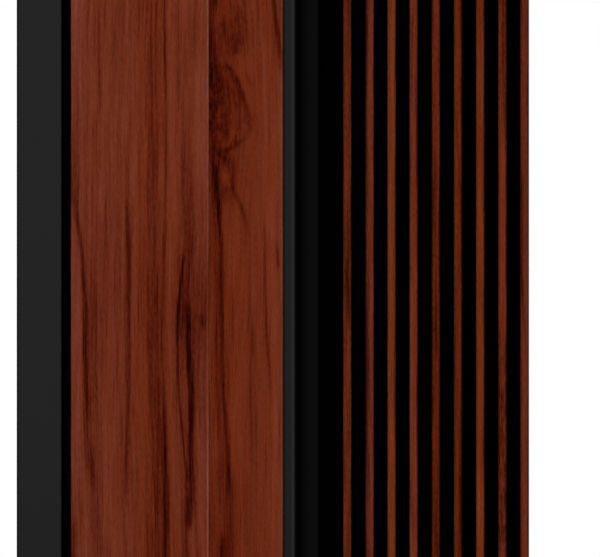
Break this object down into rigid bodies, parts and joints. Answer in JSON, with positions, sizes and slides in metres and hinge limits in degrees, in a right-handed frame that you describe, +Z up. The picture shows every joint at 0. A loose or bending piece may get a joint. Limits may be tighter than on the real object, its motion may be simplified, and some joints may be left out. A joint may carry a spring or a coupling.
{
  "type": "wall panel",
  "caption": "Decorative wall panel: grey metal stile, wood-decor planks with a metal edge trim, and a field of narrow wood slats, all carried by one black backing board.",
  "frame": {"origin": "middle of the back face, in the plane of the wall", "axes": "+Z up along the planks and slats, +X to the right seen from the front, +Y into the wall, so the face looks along -Y"},
  "size_m": [0.6, 0.025, 1.2],
  "materials": {
    "black_board": "matte",
    "grey_profile": "matte",
    "wood_decor": "satin",
    "wood_slat": "satin",
    "black_strip": "matte",
    "zinc_steel": "satin"
  },
  "bodies": {
    "root": {"back_board": "black_board", "edge_stile": "grey_profile", "wide_plank": "wood_decor", "narrow_plank": "wood_decor", "edge_trim": "grey_profile", "shadow_strip": "black_strip", "slat_1": "wood_slat", "slat_2": "wood_slat", "slat_3": "wood_slat", "slat_4": "wood_slat", "slat_5": "wood_slat", "slat_6": "wood_slat", "slat_7": "wood_slat", "slat_8": "wood_slat", "slat_9": "wood_slat", "stile_screws": "zinc_steel", "trim_screws": "zinc_steel", "wide_plank_staples": "zinc_steel", "narrow_plank_staples": "zinc_steel", "slat_staples": "zinc_steel"}
  },
  "joints": []
}
